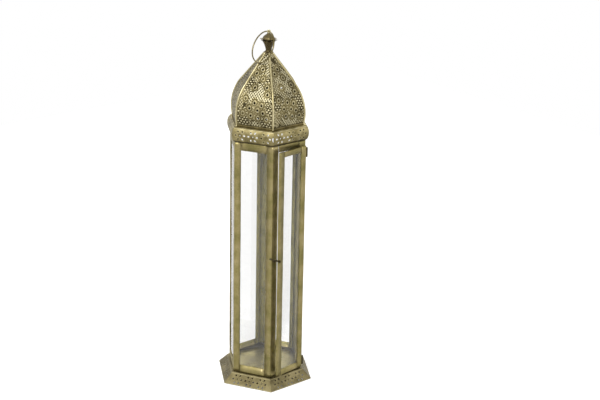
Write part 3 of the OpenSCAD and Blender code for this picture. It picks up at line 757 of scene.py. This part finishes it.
cup_profile = smooth_profile([(5.5, 0), (6.1, 4), (7.4, 9), (9.6, 14), (12.8, 18.2), (17.8, 20.2)],
                             PROFILE_POINTS)
cup_inner = np.stack([np.linspace(cup_profile[-1, 0], 9*MM, CUP_INNER_POINTS),
                      np.linspace(20.3, 18.6, CUP_INNER_POINTS)*MM], -1)
cup_shell = joined([lathed(cup_profile + (0, cup_low.z), cup_lobes),
                    lathed(cup_inner + (0, cup_low.z),
                           lambda a, t: (1 + (1 - t)*(cup_lobes(a, np.ones_like(t))[0] - 1),
                                         (1 - t)*cup_lobes(a, np.ones_like(t))[1]))])
cup_chase = np.concatenate([np.repeat(np.linspace(0.25, 0.6, PROFILE_POINTS), ROUND_POINTS),
                            np.full(CUP_INNER_POINTS*ROUND_POINTS, 0.35)])
piece("cup", cup_shell, "lantern", ["finial_cup"], CAST_BRASS, smooth_below=50,
      attributes={"chase_and_shade": cup_chase})

bud_profile = smooth_profile([(9, -2), (11.7, -1.2), (11.9, 0.6), (11.0, 3.4), (8.4, 6.2), (5.0, 8.6),
                              (3.0, 10.6), (2.5, 11.2)], PROFILE_POINTS)
bud_chase = 0.25 + 0.35*np.sin(math.pi*np.linspace(0, 1, PROFILE_POINTS))
piece("bud", lathed(bud_profile + (0, bud_low.z),
                    lambda a, t: (1 + 0.03*np.sin(math.pi*t)*np.cos(6*a), 0*a*t)),
      "lantern", ["finial_bud"], CAST_BRASS, smooth_below=50,
      attributes={"chase_and_shade": np.repeat(bud_chase, ROUND_POINTS)})

# ---- Ring ----

eye = Vector(JOINTS["ring_swing"]["pos_m"])
RING_R = 30.5*MM
WIRE_R = 1.25*MM
ring_low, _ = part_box("hanging_ring")
# The ring's own lean: its lowest wire lies this far from under the eye
ring_lean = math.atan2(-ring_low.x - WIRE_R, eye.z - ring_low.z - WIRE_R)


def ring_shell(count=160, around=14):
    """A hand-bent wire ring that hangs from the eye: a circle, a little flattened and out of true."""
    t = np.linspace(0, 2*math.pi, count, endpoint=False)
    radius = RING_R - 1.1*MM*(1 - np.cos(2*t)) - 0.1*MM*(1 - np.cos(3*t))
    path = np.stack([0.25*MM*np.sin(2*t), radius*np.sin(t), radius*np.cos(t) - RING_R], -1)
    out = np.stack([0*t, np.sin(t), np.cos(t)], -1)
    a = np.linspace(0, 2*math.pi, around, endpoint=False)
    wire = WIRE_R*(out[:, None]*np.cos(a)[None, :, None]
                   + np.array([1, 0, 0])*np.sin(a)[None, :, None])
    points = path[:, None] + wire
    c, s = math.cos(ring_lean), math.sin(ring_lean)
    x, y, z = points[..., 0], points[..., 1], points[..., 2]
    leaning = np.stack([x*c + z*s, y, z*c - x*s], -1) + np.array(eye)
    return leaning, grid_quads(count, around, closed=True)


ring_points, ring_quads = ring_shell()
count, around = ring_points.shape[:2]
first = np.arange(around)
first_next = (first + 1) % around
last = (count - 1)*around + first
last_next = (count - 1)*around + first_next
closing = np.stack([last, last_next, first_next, first], -1)
piece("wire_ring", (ring_points, np.concatenate([ring_quads, closing])), "ring",
      ["hanging_ring"], WIRE_BRASS, smooth_below=80)

# ---- CAD nodes that keep their shape ----

for name, node in NODES.items():
    if name.startswith("glass_pane") or name == "door_glass":
        finish = GLASS
    elif name == "floor_tray":
        finish = TRAY_BRASS
    elif name in ("hinge_leaves", "hinge_pins", "door_knuckles", "latch_pivot", "latch_keeper",
                  "latch_lever"):
        finish = FITTING_BRASS
    elif name == "finial_stem":
        finish = RIB_BRASS
    else:
        finish = FRAME_BRASS
    node.data.materials.clear()
    node.data.materials.append(finish)

# ---- Floor, light and camera ----


def studio_floor():
    """A wide white sheet of paper under the lantern."""
    mesh = bpy.data.meshes.new("floor")
    half = 1.8
    corners = [(-half, -half, 0), (half, -half, 0), (half, half, 0), (-half, half, 0)]
    mesh.from_pydata(corners, [], [(0, 1, 2, 3)])
    floor = bpy.data.objects.new("floor", mesh)
    bpy.context.scene.collection.objects.link(floor)
    material, tree, shader = empty_material("white paper")
    place = add(tree, "TexCoord").outputs["Object"]
    fibre = add(tree, "TexNoise", {"Vector": place, "Scale": 60, "Detail": 3})
    tone = ramp(tree, fibre.outputs["Fac"], [(0.3, "#F2F2F1"), (0.7, "#F8F8F7")])
    tree.links.new(tone, shader.inputs["Base Color"])
    shader.inputs["Roughness"].default_value = 0.9
    # The camera sees the paper a little brighter than the lamps light it, so that it reaches white
    seen = add(tree, "LightPath").outputs["Is Camera Ray"]
    away = add(tree, "VectorMath", {0: place}, operation="LENGTH").outputs["Value"]
    open_paper = add(tree, "MapRange",
                     {"Value": away, "From Min": LEDGE_A, "From Max": FOOT_A, "To Max": 0.34})
    lift = add(tree, "Math", {0: seen, 1: open_paper.outputs["Result"]}, operation="MULTIPLY")
    shader.inputs["Emission Color"].default_value = (1, 1, 1, 1)
    tree.links.new(lift.outputs[0], shader.inputs["Emission Strength"])
    mesh.materials.append(material)


def white_world():
    """White behind the lantern and in what its metal and glass show, and a dimmer white elsewhere."""
    world = bpy.data.worlds.new("studio")
    bpy.context.scene.world = world
    world.use_nodes = True
    tree = world.node_tree
    path = add(tree, "LightPath").outputs
    seen = add(tree, "Math", {0: path["Is Camera Ray"], 1: path["Is Transmission Ray"]}, operation="MAXIMUM")
    seen = add(tree, "Math", {0: seen.outputs[0], 1: path["Is Glossy Ray"]}, operation="MAXIMUM")
    strength = add(tree, "MapRange", {"Value": seen.outputs[0], "To Min": 0.55, "To Max": 1.0})
    tree.links.new(strength.outputs["Result"], tree.nodes["Background"].inputs["Strength"])
    tree.nodes["Background"].inputs["Color"].default_value = (1, 1, 1, 1)


def lamp(name, place, size, power, aim=(0, 0, 0.35)):
    """A square soft box that points at the lantern."""
    light = bpy.data.lights.new(name, "AREA")
    light.size = size
    light.energy = power
    made = bpy.data.objects.new(name, light)
    made.location = place
    made.rotation_euler = (Vector(aim) - Vector(place)).to_track_quat("-Z", "Y").to_euler()
    bpy.context.scene.collection.objects.link(made)


VIEW_TURN = math.radians(37.8)                  # the camera stands this far to the left of the door's front
VIEW_DISTANCE, VIEW_HEIGHT = 2.5709, 1.299
VIEW_PITCH, VIEW_YAW, VIEW_ROLL = 0.3483, 0.025, 0.0215
VIEW_LENS = 85.0


def camera():
    """A tall camera a little to the left, looking down 20 degrees and rolled by about one."""
    data = bpy.data.cameras.new("camera")
    data.lens = VIEW_LENS
    data.sensor_width = 36
    made = bpy.data.objects.new("camera", data)
    heading = math.pi/2 - VIEW_TURN - VIEW_YAW
    flat = Vector((math.cos(heading), math.sin(heading), 0))
    forward = flat*math.cos(VIEW_PITCH) - Vector((0, 0, math.sin(VIEW_PITCH)))
    right = forward.cross(Vector((0, 0, 1))).normalized()
    up = right.cross(forward)
    side = right*math.cos(VIEW_ROLL) + up*math.sin(VIEW_ROLL)
    top = up*math.cos(VIEW_ROLL) - right*math.sin(VIEW_ROLL)
    turn = Matrix((side, top, -forward)).transposed().to_4x4()
    place = Vector((-VIEW_DISTANCE*math.sin(VIEW_TURN), -VIEW_DISTANCE*math.cos(VIEW_TURN), VIEW_HEIGHT))
    made.matrix_world = Matrix.Translation(place) @ turn
    bpy.context.scene.collection.objects.link(made)
    bpy.context.scene.camera = made


studio_floor()
white_world()
lamp("key", (-2.0, -1.2, 2.2), 0.9, 60)
lamp("fill", (1.6, -2.0, 1.2), 1.4, 8)
lamp("rim", (1.2, 1.8, 1.8), 1.2, 16)
camera()
bpy.context.scene.view_settings.view_transform = "Standard"
